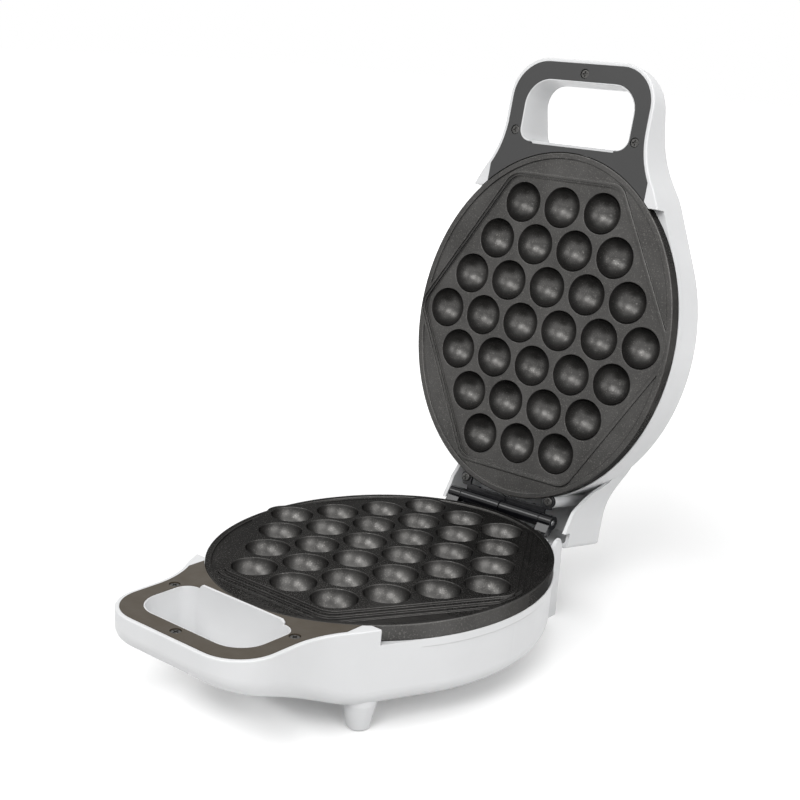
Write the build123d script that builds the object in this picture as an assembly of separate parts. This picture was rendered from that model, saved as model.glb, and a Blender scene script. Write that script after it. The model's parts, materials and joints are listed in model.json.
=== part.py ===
"""Egg waffle pan: a hinged electric maker with two non-stick plates of thirty round cells.

Each half is drawn face up in its own frame: the rim of its cooking plate lies at z = 0, the handle points
towards -Y and the hinge is at +Y. The lid is then turned over, lifted by the gap between the rims and swung
open about the hinge. The finished frame stands on z = 0, centred in x and y.
"""
from build123d import *
import os
from math import radians, sqrt, tan

os.makedirs("parts", exist_ok=True)

# Driving dimensions: millimetres and degrees.

# Cells
CELL_PITCH = 31.0
CELL_RADIUS = 13.7
CELL_DEPTH = 12.5
CELL_ROWS = (3, 4, 5, 6, 5, 4, 3)
CUP_TOP_RADIUS = 15.4
CUP_END_RADIUS = 6.5
CUP_WALL = 1.8
CUP_COLLAR = 6.7
CELL_MOUTH_CHAMFER = 0.5

# Cooking plates: oval, half width and half length
PLATE_X = 98.3
PLATE_Y = 116.5
PLATE_FLANGE = 3.0
PLATE_SKIRT = 9.2
PLATE_WALL = 2.0
RIM_WIDTH = 4.0
RIM_ROUND = 0.6
BASIN_DEPTH = 1.2

# Hexagon: distance from the centre to the two sides across Y, and to the four slanted sides
HEXAGON_FLAT = 97.0
HEXAGON_SLANT = 84.0
HEXAGON_CORNER = 12.0
PLATFORM_RISE = 2.7
TERRACES = ((3.2, 1.2), (6.4, -0.2))
TERRACE_OVERLAP = 0.3
RECESS_DEPTH = 2.9
RECESS_CLEARANCE = 1.0
LEDGE_DEPTH = 1.3
LEDGE_WIDTH = 1.2
RIDGE_WIDTH = 3.2
RIDGE_ROUND = 0.5

# Housings
BODY_X = 98.9
BODY_Y = 117.0
BODY_TOP = -PLATE_SKIRT
SHOULDER_DROP = 4.6
SHOULDER_STEP = 0.2
BODY_BOTTOM = -47.0
BODY_DRAFT = 1.2
EDGE_ROUND = 11.0
TOP_EDGE_ROUND = 0.8
WALL = 2.5
SLOPE_LIFT = 2.7

# Handle loops
HANDLE_X = 55.0
HANDLE_FRONT = 177.5
HANDLE_CORNER = 27.0
HANDLE_BEND_Y = -118.0
HANDLE_BEND_ROUND = 62.0
FAIRING_ROOT_X = 66.7
FAIRING_ROOT_ROUND = 60.0
FAIRING_MEET_X = 86.6
FAIRING_INSIDE = (60.0, -40.0)
HANDLE_STEP_Y = -88.0
HANDLE_TIP_Z = -16.0
HEEL_Y = -97.0
HEEL_ROUND = 60.0
HOLE_X = 41.4
HOLE_FRONT = 162.7
HOLE_REAR = 122.0
HOLE_FRONT_CORNER = 17.0
HOLE_REAR_CORNER = 8.0
HOLE_WALL = 2.0
LIP_X = 32.0
LIP_HEIGHT = 2.5
LIP_WIDTH = 1.7
LIP_SLOPE = 1.5

# Handle covers
COVER_INSET = 2.4
COVER_THICKNESS = 2.2
COVER_PROUD = 0.2
COVER_HOLE_MARGIN = 0.8
COVER_PLATE_GAP = 0.3
PLATE_SEAT_GAP = 0.3
COVER_TIP_X = 61.0
COVER_SCREWS = ((0.0, -168.5), (46.2, -127.9), (-46.2, -127.9))
COVER_SCREW_SINK = 1.4
COVER_SCREW_HEAD = 0.9
COVER_GAP = 0.05
SHORT_SCREW = 9.0
SHORT_SCREW_HOLE = -16.0

# Rear necks
BASE_NECK_X = 50.0
BASE_NECK_REAR = 128.5
NECK_CORNER = 3.0
NECK_ROOT = (66.0, 80.0)
NECK_MIDDLE = (57.6, 97.0)
NECK_STRAIGHT_Y = 121.0
DECK_Z = -17.3
SEAT_X = 44.0
SEAT_REAR = 117.5
FIN_TOP = ((92.0, -16.0), (112.0, -16.0), (119.5, -9.0), (123.0, -8.0), (127.0, -14.0), (128.6, -20.0))
LID_NECK_X = 51.0
LID_NECK_REAR = 141.0
LID_NECK_BOTTOM = -48.0
LID_NECK_EDGE = ((95.0, -32.0), (101.0, -23.0), (116.0, -7.5), (132.0, -0.6), (139.0, -6.0), (142.0, -8.5))
SKIRT_EDGE = ((52.0, -7.5), (46.5, -6.5), (41.5, 0.0), (36.0, 4.5), (28.0, 5.0))

# Feet
FLOOR_Z = -63.0
FOOT_X = 58.0
FOOT_Y = -86.0
FOOT_TOP_RADIUS = 9.7
FOOT_END_RADIUS = 6.4
FOOT_ROUND = 2.5
FOOT_ROOT_Z = -40.0
REAR_FOOT_INNER_X = 44.0
REAR_FOOT_FRONT = 110.0

# Hinge
HINGE_Y = 125.0
OPEN_ANGLE = 100.0
PLATE_GAP = 1.5
BARREL_RADIUS = 4.7
PIN_RADIUS = 2.0
PIN_RUNNING_GAP = 0.05
BASE_KNUCKLE = (32.5, 42.0)
LEAF_KNUCKLE = (0.5, 32.0)
LEAF_THICKNESS = 2.0
BASE_PAD = (37.5, 112.5)
BASE_PAD_TOP = -5.0
LEAF_PAD = (34.0, 112.5)
LEAF_PAD_TOP = -1.2
PAD_RADIUS = 4.3
PLATE_PAD_GAP = 0.5
BRACKET_BAR = 2.0
BRACKET_BAR_DROP = 1.4
BRACKET_ARM = ((121.8, 2.6), (125.0, -4.3), (120.5, -8.4))
BRACKET_ARM_TOP = (120.3, -0.6)
WEB_REAR = 122.5
WEB_FOOT = (27.0, 118.0, 9.8, 2.4)

# Heating
HEATER_FLAT = 70.0
HEATER_SLANT = 60.0
HEATER_BEND = 16.0
HEATER_RADIUS = 3.25
HEATER_Z = -21.5
HEATER_END_X = 14.0
HEATER_PIN_RADIUS = 2.0
HEATER_PIN_LENGTH = 7.0
CLIP_PAD_RADIUS = 9.5
CLIP_THICKNESS = 1.2
CLIP_WIDTH = 10.0
CLIP_SCREW_REACH = 6.6
SHIELD_TOP = -30.0
SHIELD_THICKNESS = 1.0
SHIELD_X = 94.0
SHIELD_Y = 112.0
SHIELD_EDGE = 3.5
POSTS = ((76.2, 44.0), (-76.2, 44.0), (76.2, -44.0), (-76.2, -44.0))
POST_RADIUS = 5.0
POST_SCREW_RADIUS = 2.0
POST_SCREW_HEAD_RADIUS = 3.8
POST_SCREW_SEAT = -41.0
POST_SCREW_TIP = -20.0
POST_SCREW_HEAD = 2.4
POST_SCREW_CROSS = (5.0, 1.1, 1.2)
CLIP_SCREW_RADIUS = 1.0
CLIP_SCREW_LENGTH = 4.5
CLIP_SCREW_HEAD_RADIUS = 1.9
CLIP_SCREW_HEAD = 1.3

# Small fittings
SCREW_RADIUS = 1.5
SCREW_HEAD_RADIUS = 2.9
PAD_SCREW_HEAD = 1.3
SCREW_GAP = 0.1
CROSS_WIDTH = 0.9
CROSS_DEPTH = 0.9
GLAND_X = -28.0
GLAND_Z = -32.0
GLAND_BORE = 3.4
GLAND_NECK = 5.0
GLAND_FLANGE = 8.0
GLAND_RIM = 2.0
LENS_X = -57.0
LENS_Y = -79.0
LENS_RADIUS = 5.0
LENS_PROUD = 4.5
LENS_ROUND = 2.0
STEM_RADIUS = 3.4
STEM_END = 12.0
LAMP_RADIUS = 2.3
LAMP_BORE = 2.6
THERMOSTAT_RADIUS = 8.0
THERMOSTAT_HEIGHT = 8.5
TAB_X = 3.5
TAB_SIZE = (0.8, 6.0, 2.4)
FUSE_CELL = 9
FUSE_RADIUS = 2.4
FUSE_LENGTH = 16.0
FUSE_TAB = (10.0, 8.0, 1.0)
BLOCK_Y = 84.0
BLOCK_SIZE = (34.0, 16.0, 11.0)
BLOCK_PITCH = 10.5
BLOCK_SCREW_BORE = 2.6
BLOCK_WIRE_BORE = 1.8


def prism(sketch, low, high):
    """A sketch extruded between two heights."""
    return extrude(Plane.XY.offset(low) * sketch, high - low)


def side_prism(points, half_width):
    """A closed outline in the YZ plane, extruded to both sides of x = 0."""
    outline = make_face(Polyline(*points, close=True))
    return extrude(Plane.YZ * outline, half_width, both=True)


def cylinder(x, y, radius, low, high):
    """An upright cylinder between two heights."""
    return Pos(x, y, (low + high) / 2) * Cylinder(radius, high - low)


def both_sides(curve):
    """A face bounded by a half outline, drawn on +X, and its mirror image."""
    half = Curve() + curve
    return make_face(half + mirror(half, Plane.YZ))


# Outlines

def cell_centres():
    """Centres of the cells: rows of touching hexagon packing."""
    row_pitch = CELL_PITCH * sqrt(3) / 2
    middle = (len(CELL_ROWS) - 1) / 2
    return [((i - (count - 1) / 2) * CELL_PITCH, (row - middle) * row_pitch)
            for row, count in enumerate(CELL_ROWS) for i in range(count)]


def hexagon(grow):
    """The rounded hexagon round the cells, grown by an equal margin on every side."""
    flat = HEXAGON_FLAT + grow
    slant = HEXAGON_SLANT + grow
    tip_x = slant * 2 / sqrt(3)
    corner_x = tip_x - flat / sqrt(3)
    points = [(corner_x, -flat), (tip_x, 0), (corner_x, flat), (-corner_x, flat), (-tip_x, 0), (-corner_x, -flat)]
    outline = make_face(Polyline(*points, close=True))
    return fillet(outline.vertices(), HEXAGON_CORNER)


def oval(grow=0.0):
    """The plan of a cooking plate, grown by a margin."""
    return Ellipse(PLATE_X + grow, PLATE_Y + grow)


def handle_outline():
    """Plan of a handle loop, from its front bar to the fairings that run tangent into the oval body."""
    across = BODY_X - SHOULDER_STEP
    along = BODY_Y - SHOULDER_STEP
    meet_y = -along * sqrt(1 - (FAIRING_MEET_X / across) ** 2)
    slant = across ** 2 * -meet_y / (along ** 2 * FAIRING_MEET_X)
    root_y = meet_y - (FAIRING_MEET_X - FAIRING_ROOT_X) / slant
    right = [(HANDLE_X, -HANDLE_FRONT), (HANDLE_X, HANDLE_BEND_Y), (FAIRING_ROOT_X, root_y),
             (FAIRING_MEET_X, meet_y), FAIRING_INSIDE]
    left = [(-x, y) for x, y in reversed(right)]
    outline = make_face(Polyline(*right, *left, close=True))
    outline = fillet(outline.vertices().sort_by(Axis.Y)[:2], HANDLE_CORNER)
    for y, radius in ((HANDLE_BEND_Y, HANDLE_BEND_ROUND), (root_y, FAIRING_ROOT_ROUND)):
        outline = fillet([corner for corner in outline.vertices() if abs(corner.Y - y) < 0.1], radius)
    return outline


def housing_plan():
    """Plan of a housing without its rear neck: the oval body and the handle loop."""
    return Ellipse(BODY_X - SHOULDER_STEP, BODY_Y - SHOULDER_STEP) + handle_outline()


def hole_outline(grow=0.0):
    """Plan of the finger hole, with large front corners and small rear ones."""
    half = HOLE_X + grow
    front = -HOLE_FRONT - grow
    rear = -HOLE_REAR + grow
    outline = make_face(Polyline((half, front), (half, rear), (-half, rear), (-half, front), close=True))
    corners = outline.vertices().sort_by(Axis.Y)
    outline = fillet(corners[:2], HOLE_FRONT_CORNER + grow)
    return fillet(outline.vertices().sort_by(Axis.Y)[-2:], HOLE_REAR_CORNER + grow)


def neck_outline(half_width, rear, inset=0.0):
    """Plan of a rear neck, flared where it leaves the oval body."""
    half = half_width - inset
    back = rear - inset
    root = (NECK_ROOT[0] - inset, NECK_ROOT[1])
    middle = (NECK_MIDDLE[0] - inset, NECK_MIDDLE[1])
    corner = NECK_CORNER
    return both_sides([
        Line((0, NECK_ROOT[1]), root),
        Spline(root, middle, (half, NECK_STRAIGHT_Y), tangents=[(-0.35, 1), (0, 1)]),
        Line((half, NECK_STRAIGHT_Y), (half, back - corner)),
        CenterArc((half - corner, back - corner), corner, 0, 90),
        Line((half - corner, back), (0, back)),
    ])


# Fasteners

def cross_screw(x, y, seat, length, height):
    """A pan head screw pointing down, its head resting on the seat height."""
    shank = cylinder(x, y, SCREW_RADIUS, seat - length, seat)
    dome = cylinder(x, y, SCREW_HEAD_RADIUS, seat, seat + height)
    dome = fillet(dome.edges().group_by(Axis.Z)[-1], height * 0.45)
    arm = SCREW_HEAD_RADIUS * 1.25
    slot = Rectangle(arm, CROSS_WIDTH) + Rectangle(CROSS_WIDTH, arm)
    recess = prism(Pos(x, y) * slot, seat + height - CROSS_DEPTH, seat + height + 1)
    return shank + dome - recess


# Cooking plates

def plate_underside(face):
    """Everything below the flange: cups, heater pads, screw bosses and the thermostat pad."""
    cup_end = face - CELL_DEPTH - CUP_WALL
    cone_top = face - CUP_COLLAR
    height = cone_top - cup_end
    pieces = [Pos(x, y, cup_end + height / 2) * Cone(CUP_END_RADIUS, CUP_TOP_RADIUS, height)
              for x, y in cell_centres()]
    pieces += [cylinder(x, y, CUP_TOP_RADIUS, cone_top, -PLATE_FLANGE) for x, y in cell_centres()]
    pad_end = HEATER_Z + HEATER_RADIUS
    pieces += [cylinder(x, y, CLIP_PAD_RADIUS, pad_end, -PLATE_FLANGE) for x, y in clip_spots()]
    pieces += [cylinder(x, y, POST_RADIUS, SHIELD_TOP, -PLATE_FLANGE) for x, y in POSTS]
    pieces.append(cylinder(0, 0, THERMOSTAT_RADIUS, pad_end, -PLATE_FLANGE))
    return Part() + pieces


def plate_blank():
    """The oval flange with its skirt, the basin and the rounded rim round it."""
    blank = prism(oval(), -PLATE_SKIRT, 0) - prism(oval(-RIM_WIDTH), -BASIN_DEPTH, 1)
    blank = fillet(blank.edges().group_by(Axis.Z)[-1], RIM_ROUND)
    return blank - prism(oval(-PLATE_WALL), -PLATE_SKIRT, -PLATE_FLANGE)


def cut_cells(plate, face):
    """Sink the round cells with chamfered mouths and drill the blind screw holes."""
    ball_radius = (CELL_RADIUS ** 2 + CELL_DEPTH ** 2) / (2 * CELL_DEPTH)
    ball_z = face - CELL_DEPTH + ball_radius
    edge = CELL_MOUTH_CHAMFER
    mouth = Cone(CELL_RADIUS - edge, CELL_RADIUS + edge, 2 * edge)
    plate -= Part() + [Pos(x, y, ball_z) * Sphere(ball_radius) for x, y in cell_centres()]
    plate -= Part() + [Pos(x, y, face) * mouth for x, y in cell_centres()]
    hole = POST_SCREW_RADIUS + SCREW_GAP
    plate -= Part() + [cylinder(x, y, hole, SHIELD_TOP, POST_SCREW_TIP + 1) for x, y in POSTS]
    return plate - (Part() + [clip_screw_hole(x, y, side) for x, y in clip_spots() for side in (-1, 1)])


def lower_plate():
    """Lower plate: a platform that steps down to a shallow basin inside the rim."""
    inner = oval(TERRACE_OVERLAP - RIM_WIDTH)
    plate = plate_blank()
    for grow, height in reversed(TERRACES):
        plate += prism(hexagon(grow) & inner, -PLATE_FLANGE, height)
    plate += prism(hexagon(0), -PLATE_FLANGE, PLATFORM_RISE)
    return cut_cells(plate + plate_underside(PLATFORM_RISE), PLATFORM_RISE)


def upper_plate():
    """Upper plate: a sunk hexagon with a ledge, inside a ridge that closes round the lower platform."""
    ledge_grow = RECESS_CLEARANCE + LEDGE_WIDTH
    ridge = prism(hexagon(RECESS_CLEARANCE + RIDGE_WIDTH), -PLATE_FLANGE, 0)
    ridge = fillet(ridge.edges().group_by(Axis.Z)[-1], RIDGE_ROUND)
    plate = plate_blank() + (ridge & prism(oval(-PLATE_WALL), -PLATE_FLANGE, 0))
    plate += prism(oval(-2 * PLATE_WALL), -PLATE_FLANGE - RECESS_DEPTH, -BASIN_DEPTH)
    plate -= prism(hexagon(ledge_grow), -LEDGE_DEPTH, 1)
    plate -= prism(hexagon(RECESS_CLEARANCE), -RECESS_DEPTH, 1)
    return cut_cells(plate + plate_underside(-RECESS_DEPTH), -RECESS_DEPTH)


# Housings

def underside_z(y):
    """Height of a handle's sloping underside."""
    slope = (BODY_BOTTOM - HANDLE_TIP_Z) / (HEEL_Y + HANDLE_FRONT)
    return HANDLE_TIP_Z + slope * (y + HANDLE_FRONT)


def side_room(top, lift):
    """Everything above a housing's underside: the handle's slope, the rounded heel and the flat bottom."""
    front = -HANDLE_FRONT - 1
    rear = BODY_Y + 1
    low = BODY_BOTTOM + lift
    points = [(front, top), (front, underside_z(front) + lift), (HEEL_Y, low), (rear, low), (rear, top)]
    profile = make_face(Polyline(*points, close=True))
    heel = [corner for corner in profile.vertices() if abs(corner.X - HEEL_Y) < 0.1]
    return extrude(Plane.YZ * fillet(heel, HEEL_ROUND), BODY_X + 1, both=True)


def round_underside(block, lift, radius):
    """Round the edge that runs round the underside of a block."""
    def on_underside(edge):
        middle = edge @ 0.5
        across = abs((edge % 0.5).X) > 0.999 and middle.Y > 1 - HANDLE_FRONT
        return not across and abs(middle.Z - lift - max(underside_z(middle.Y), BODY_BOTTOM)) < 1.2
    return fillet([edge for edge in block.edges() if on_underside(edge)], radius)


def shell_outer():
    """The outside of a housing: oval body with a crease under the rim, and the handle loop."""
    block = extrude(housing_plan(), BODY_BOTTOM - 1, taper=BODY_DRAFT) & side_room(0, 0)
    block = round_underside(block, 0, EDGE_ROUND)
    block = fillet(block.edges().group_by(Axis.Z)[-1], TOP_EDGE_ROUND)
    behind_step = Pos(0, HANDLE_STEP_Y + 150) * Rectangle(3 * BODY_X, 300)
    block -= prism(behind_step, BODY_TOP, 1)
    return block + prism(Ellipse(BODY_X, BODY_Y), BODY_TOP - SHOULDER_DROP, BODY_TOP)


def body_inner():
    """The hollow of the oval body, open at the top."""
    inset = SHOULDER_STEP + WALL
    plan = Ellipse(BODY_X - inset, BODY_Y - inset)
    hollow = extrude(plan, BODY_BOTTOM + WALL, taper=BODY_DRAFT)
    hollow = fillet(hollow.edges().group_by(Axis.Z)[0], EDGE_ROUND)
    return (hollow & side_room(0, SLOPE_LIFT)) + prism(plan, -1, 1)


def handle_inner():
    """The hollow of a handle loop, between its outer wall, the wall of the finger hole and the body."""
    hollow = prism(offset(handle_outline(), -COVER_INSET), BODY_BOTTOM, 1) & side_room(1, SLOPE_LIFT)
    hollow = round_underside(hollow, SLOPE_LIFT, EDGE_ROUND - COVER_INSET)
    hollow &= prism(Rectangle(2 * COVER_TIP_X + 0.1, 3 * HANDLE_FRONT), BODY_BOTTOM, 1)
    seat_z = COVER_PROUD - COVER_THICKNESS
    ring = prism(hole_outline(HOLE_WALL), BODY_BOTTOM, seat_z)
    lip = prism(hole_outline(COVER_HOLE_MARGIN), -WALL, 0)
    posts = [cylinder(x, y, SCREW_HEAD_RADIUS + 0.6, BODY_BOTTOM, seat_z) for x, y in COVER_SCREWS]
    return hollow - prism(Ellipse(BODY_X, BODY_Y), BODY_BOTTOM - 1, BODY_TOP) - ring - lip - posts


def cover_screw_holes(radius, low):
    """Upright holes on the screws of a handle cover."""
    return Part() + [cylinder(x, y, radius, low, 1) for x, y in COVER_SCREWS]


def hollow_out(outside):
    """Open the body, the handle and the finger hole of a solid housing, and drill the cover's screw holes."""
    housing = outside - prism(oval(PLATE_SEAT_GAP), BODY_TOP, 12)
    housing = housing - body_inner() - handle_inner() - prism(hole_outline(), BODY_BOTTOM - 1, 1)
    return housing - cover_screw_holes(SCREW_RADIUS + SCREW_GAP, COVER_PROUD - COVER_SCREW_SINK - SHORT_SCREW - 1)


def plate_posts(housing):
    """Posts that carry the heat shield and plate, with counterbored screw holes from outside."""
    for x, y in POSTS:
        housing += cylinder(x, y, POST_RADIUS + 1, BODY_BOTTOM + 1, SHIELD_TOP - SHIELD_THICKNESS)
        housing -= cylinder(x, y, POST_SCREW_HEAD_RADIUS + 0.3, BODY_BOTTOM - 2, POST_SCREW_SEAT)
        housing -= cylinder(x, y, POST_SCREW_RADIUS + SCREW_GAP, POST_SCREW_SEAT - 1, SHIELD_TOP)
    return housing


def front_foot(x):
    """A round tapered foot with a rounded end."""
    height = BODY_BOTTOM - FLOOR_Z
    foot = Pos(x, FOOT_Y, FLOOR_Z + height / 2) * Cone(FOOT_END_RADIUS, FOOT_TOP_RADIUS, height)
    foot = fillet(foot.edges().group_by(Axis.Z)[0], FOOT_ROUND)
    return foot + cylinder(x, FOOT_Y, FOOT_TOP_RADIUS, BODY_BOTTOM, FOOT_ROOT_Z)


def rear_fin_profile():
    """Side view of the base neck's outer walls, from the fin's tip down to the floor."""
    foot_front = REAR_FOOT_FRONT
    return [*FIN_TOP, (BASE_NECK_REAR + 0.1, FLOOR_Z + 3), (BASE_NECK_REAR - 3, FLOOR_Z), (foot_front + 2, FLOOR_Z),
            (foot_front, FLOOR_Z + 3), (foot_front - 8, BODY_BOTTOM), (FIN_TOP[0][0], BODY_BOTTOM)]


def base_neck_outer():
    """The rear box of the base, its upright fins and the feet below them."""
    plan = neck_outline(BASE_NECK_X, BASE_NECK_REAR)
    box = prism(plan, BODY_BOTTOM, DECK_Z)
    fins = prism(plan, FLOOR_Z, FIN_TOP[3][1]) & side_prism(rear_fin_profile(), BODY_X)
    fins -= prism(Rectangle(2 * (BASE_NECK_X - WALL), 400), DECK_Z, 1)
    fins -= prism(Rectangle(2 * REAR_FOOT_INNER_X, 400), FLOOR_Z - 1, BODY_BOTTOM)
    seat = Pos(0, SEAT_REAR / 2) * Rectangle(2 * SEAT_X, SEAT_REAR)
    return box + fins + prism(seat, DECK_Z - 1, BODY_TOP)


def base_neck_inner():
    """The hollow under the base neck's deck and hinge seat."""
    floor = BODY_BOTTOM + WALL
    deck = prism(neck_outline(BASE_NECK_X, BASE_NECK_REAR, WALL), floor, DECK_Z - WALL)
    seat_rear = SEAT_REAR - WALL
    seat = Pos(0, seat_rear / 2 + 40) * Rectangle(2 * (SEAT_X - WALL), seat_rear - 80)
    return deck + prism(seat, DECK_Z - WALL - 1, BODY_TOP - WALL)


def hinge_boss(x, y, top, root):
    """A round boss under a hinge pad."""
    return cylinder(x, y, PAD_RADIUS, root, top)


def lower_housing():
    """White tub of the base, with handle, feet, rear neck, fins and the seat of the hinge."""
    pad_floor = BASE_PAD_TOP - LEAF_THICKNESS
    outside = shell_outer() + base_neck_outer()
    outside += Part() + [hinge_boss(side * BASE_PAD[0], BASE_PAD[1], pad_floor, DECK_Z) for side in (-1, 1)]
    outside += Part() + [front_foot(side * FOOT_X) for side in (-1, 1)]
    housing = plate_posts(hollow_out(outside) - base_neck_inner())
    lip = Pos(0, -HOLE_REAR + LIP_WIDTH / 2) * Rectangle(2 * LIP_X, LIP_WIDTH)
    lip = prism(lip, -2 * WALL, LIP_HEIGHT)
    housing += chamfer(lip.edges().filter_by(Axis.Y).group_by(Axis.Z)[-1], LIP_SLOPE)
    for side in (-1, 1):
        housing -= cylinder(side * BASE_PAD[0], BASE_PAD[1], SCREW_RADIUS + SCREW_GAP, SHORT_SCREW_HOLE, 0)
    gland_hole = Pos(GLAND_X, BASE_NECK_REAR, GLAND_Z) * Rot(90, 0, 0) * Cylinder(GLAND_NECK, 4 * WALL)
    return housing - gland_hole


def lid_neck():
    """The hollow rear neck of the lid: a box open to the front that wraps the hinge."""
    outer = neck_outline(LID_NECK_X, LID_NECK_REAR)
    inner = neck_outline(LID_NECK_X, LID_NECK_REAR, WALL)
    high = SKIRT_EDGE[-1][1]
    walls = prism(outer, LID_NECK_BOTTOM, high) - prism(inner, LID_NECK_BOTTOM + WALL, high + 1)
    rear_face = LID_NECK_REAR - WALL
    side_room = side_prism([*LID_NECK_EDGE, (LID_NECK_REAR + 1, high + 1), (60, high + 1), (60, LID_NECK_EDGE[0][1])],
                           BODY_X)
    side_room -= Pos(0, rear_face + 10) * Box(2 * SKIRT_EDGE[1][0], 20, 99)
    half = [Line((0, high), SKIRT_EDGE[-1]), Spline(*SKIRT_EDGE[::-1]),
            Line(SKIRT_EDGE[0], (SKIRT_EDGE[0][0], high + 2)), Line((SKIRT_EDGE[0][0], high + 2), (0, high + 2))]
    skirt_room = extrude(Plane.XZ.offset(-rear_face + 8) * both_sides(half), -30)
    return walls - side_room - skirt_room


def upper_housing():
    """White cover of the lid, with handle, rear neck, hinge bosses and the hole of the lens."""
    pad_floor = LEAF_PAD_TOP - LEAF_THICKNESS
    outside = shell_outer() + lid_neck()
    outside += Part() + [hinge_boss(side * LEAF_PAD[0], LEAF_PAD[1], pad_floor, BODY_BOTTOM) for side in (-1, 1)]
    housing = plate_posts(hollow_out(outside))
    notch = Pos(0, -HOLE_REAR + HOLE_WALL) * Rectangle(2 * LIP_X + 2, 2 * HOLE_WALL)
    housing -= prism(notch, -LIP_HEIGHT, 1)
    for side in (-1, 1):
        housing -= cylinder(side * LEAF_PAD[0], LEAF_PAD[1], SCREW_RADIUS + SCREW_GAP, SHORT_SCREW_HOLE, 0)
    return housing - cylinder(LENS_X, LENS_Y, STEM_RADIUS + SCREW_GAP, BODY_BOTTOM - 1, BODY_BOTTOM + STEM_END)


# Handle covers

def handle_cover(notch):
    """A flat cover that lies flush in the handle loop, with recessed screw seats."""
    low = COVER_PROUD - COVER_THICKNESS
    plan = offset(handle_outline(), -COVER_INSET - COVER_GAP)
    plan -= oval(COVER_PLATE_GAP) + hole_outline(COVER_HOLE_MARGIN + COVER_GAP)
    plan &= Pos(0, -HANDLE_FRONT / 2 - 40) * Rectangle(2 * COVER_TIP_X, HANDLE_FRONT)
    plan -= Pos(0, -HOLE_REAR + notch / 2 - 1) * Rectangle(2 * LIP_X + 0.4, notch + 2)
    cover = prism(plan, low, COVER_PROUD)
    cover -= cover_screw_holes(SCREW_HEAD_RADIUS + 0.35, COVER_PROUD - COVER_SCREW_SINK)
    return cover - cover_screw_holes(SCREW_RADIUS + SCREW_GAP, low - 1)


def handle_screws():
    """The three screws of a handle cover."""
    seat = COVER_PROUD - COVER_SCREW_SINK
    return [cross_screw(x, y, seat, SHORT_SCREW, COVER_SCREW_HEAD) for x, y in COVER_SCREWS]


# Hinge

def barrel(start, end, bore, z):
    """One knuckle: a round tube along X on the hinge line."""
    length = end - start
    middle = (start + end) / 2
    tube = Cylinder(BARREL_RADIUS, length) - Cylinder(bore, length + 2)
    return Pos(middle, HINGE_Y, z) * Rot(0, 90, 0) * tube


def hinge_bracket():
    """Bracket of the base: two outer knuckles on curved arms, joined by a bar in front of the barrel."""
    floor = BASE_PAD_TOP - LEAF_THICKNESS
    low = floor - BRACKET_BAR_DROP
    start, end = BASE_KNUCKLE
    middle = (start + end) / 2
    bar_y = SEAT_REAR + 0.4
    pad_rear = BASE_PAD[1] + 2
    profile = [*BRACKET_ARM, (bar_y, low), (bar_y, floor), (pad_rear, floor), (pad_rear, BASE_PAD_TOP),
               (bar_y - 1, BASE_PAD_TOP), BRACKET_ARM_TOP]
    arm = extrude(Plane.YZ.offset(start) * make_face(Polyline(*profile, close=True)), end - start)
    arm += barrel(start, end, PIN_RADIUS, 0)
    arm += cylinder(*BASE_PAD, PAD_RADIUS, floor, BASE_PAD_TOP)
    arm -= Pos(middle, HINGE_Y, 0) * Rot(0, 90, 0) * Cylinder(PIN_RADIUS, end - start + 2)
    arm -= cylinder(*BASE_PAD, SCREW_RADIUS + SCREW_GAP, floor - 1, BASE_PAD_TOP + 1)
    bar = Box(2 * start + 4, BRACKET_BAR, BASE_PAD_TOP - low)
    return arm + mirror(arm, Plane.YZ) + Pos(0, bar_y + BRACKET_BAR / 2, (low + BASE_PAD_TOP) / 2) * bar


def hinge_leaf(side):
    """One leaf of the lid: a long knuckle, a web towards the plate and a round screw pad."""
    start, end = LEAF_KNUCKLE
    middle = (start + end) / 2
    low = LEAF_PAD_TOP - LEAF_THICKNESS
    front = PLATE_Y + 0.9
    web = Pos(middle, (front + WEB_REAR) / 2, (low + LEAF_PAD_TOP) / 2)
    leaf = web * Box(end - start, WEB_REAR - front, LEAF_THICKNESS)
    tongue = Pos(LEAF_PAD[0] - 1, LEAF_PAD[1] + 2.6) * Rectangle(2 * PAD_RADIUS - 2, 5.2)
    foot_x, foot_y, foot_length, foot_width = WEB_FOOT
    foot = Pos(foot_x, foot_y) * Rectangle(foot_length, foot_width)
    pad = (Pos(*LEAF_PAD) * Circle(PAD_RADIUS)) + tongue + foot - oval(PLATE_PAD_GAP)
    leaf += prism(pad, low, LEAF_PAD_TOP)
    leaf += barrel(start, end, PIN_RADIUS + PIN_RUNNING_GAP, PLATE_GAP)
    bore = Pos(middle, HINGE_Y, PLATE_GAP) * Rot(0, 90, 0)
    leaf -= bore * Cylinder(PIN_RADIUS + PIN_RUNNING_GAP, end - start + 2)
    leaf -= cylinder(*LEAF_PAD, SCREW_RADIUS + SCREW_GAP, low - 1, LEAF_PAD_TOP + 1)
    return leaf if side > 0 else mirror(leaf, Plane.YZ)


def hinge_pin():
    """The steel pin, as long as the whole barrel."""
    length = 2 * BASE_KNUCKLE[1]
    pin = Pos(0, HINGE_Y, 0) * Rot(0, 90, 0) * Cylinder(PIN_RADIUS, length)
    return chamfer(pin.edges().filter_by(GeomType.CIRCLE), 0.4)


def pad_screws(pad, seat):
    """The two screws of a hinge part."""
    return [cross_screw(side * pad[0], pad[1], seat, SHORT_SCREW, PAD_SCREW_HEAD) for side in (-1, 1)]


# Heating

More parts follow.
